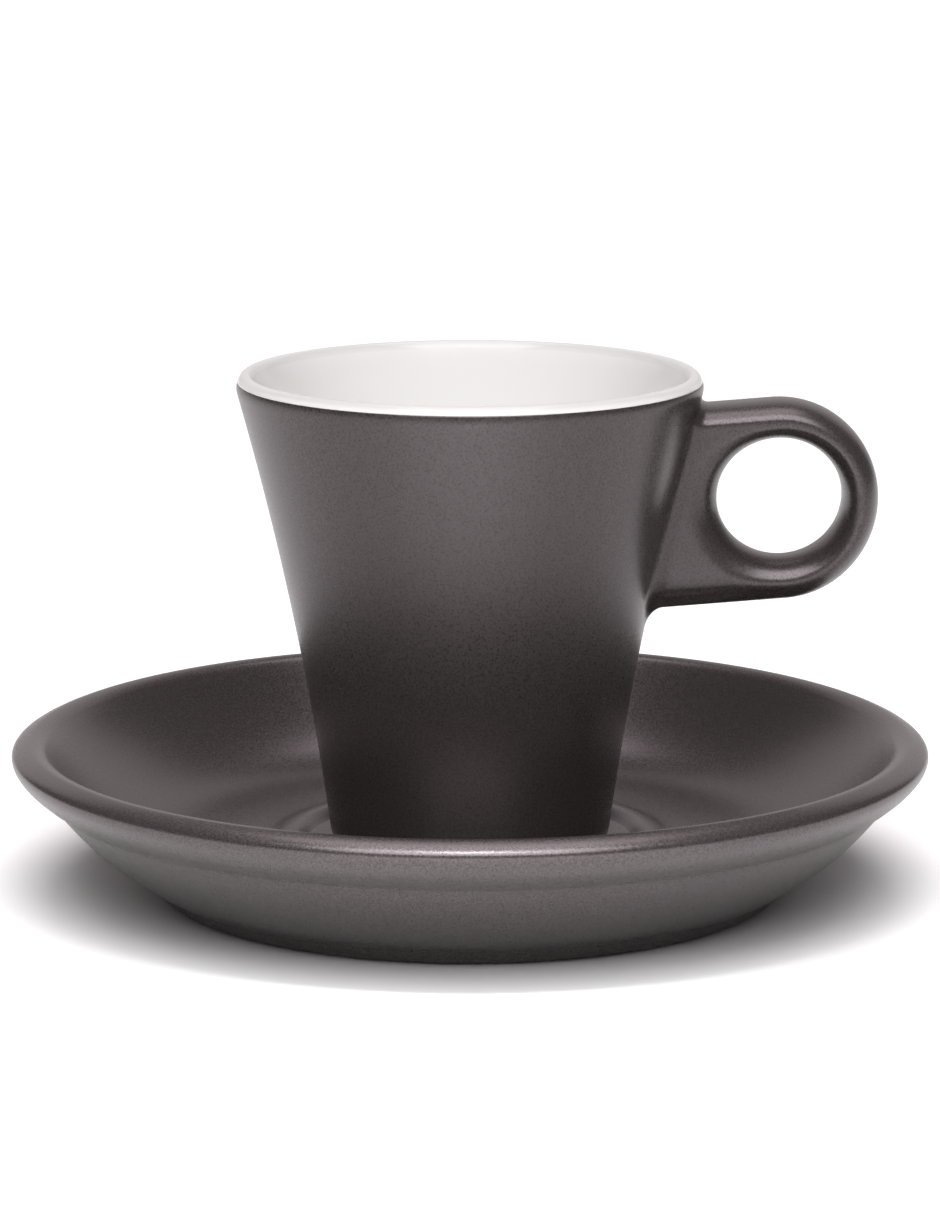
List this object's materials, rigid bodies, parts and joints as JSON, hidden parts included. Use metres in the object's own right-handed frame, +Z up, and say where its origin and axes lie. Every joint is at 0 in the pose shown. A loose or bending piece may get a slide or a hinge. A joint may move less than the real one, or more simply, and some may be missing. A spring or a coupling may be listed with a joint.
{
  "type": "espresso cup and saucer",
  "caption": "Tapered ceramic espresso cup with a round finger hole in its ring handle, satin grey outside and glossy white inside, standing in the well of a deep saucer and lifting off it.",
  "frame": {"origin": "middle of the saucer's foot ring, on the table", "axes": "+Z up along the axis of cup and saucer, +X towards the cup's handle"},
  "size_m": [0.125, 0.125, 0.0712],
  "materials": {
    "grey_glaze": "satin warm grey glaze with a fine speckle",
    "white_glaze": "glossy white glaze"
  },
  "bodies": {
    "saucer": {"saucer": "grey_glaze"},
    "cup": {"cup_body": "grey_glaze", "cup_lining": "white_glaze", "cup_handle": "grey_glaze"}
  },
  "joints": [
    {"name": "cup_lift", "type": "slide", "parent": "saucer", "child": "cup", "axis": [0, 0, 1], "range_m": [0, 0.1]}
  ]
}
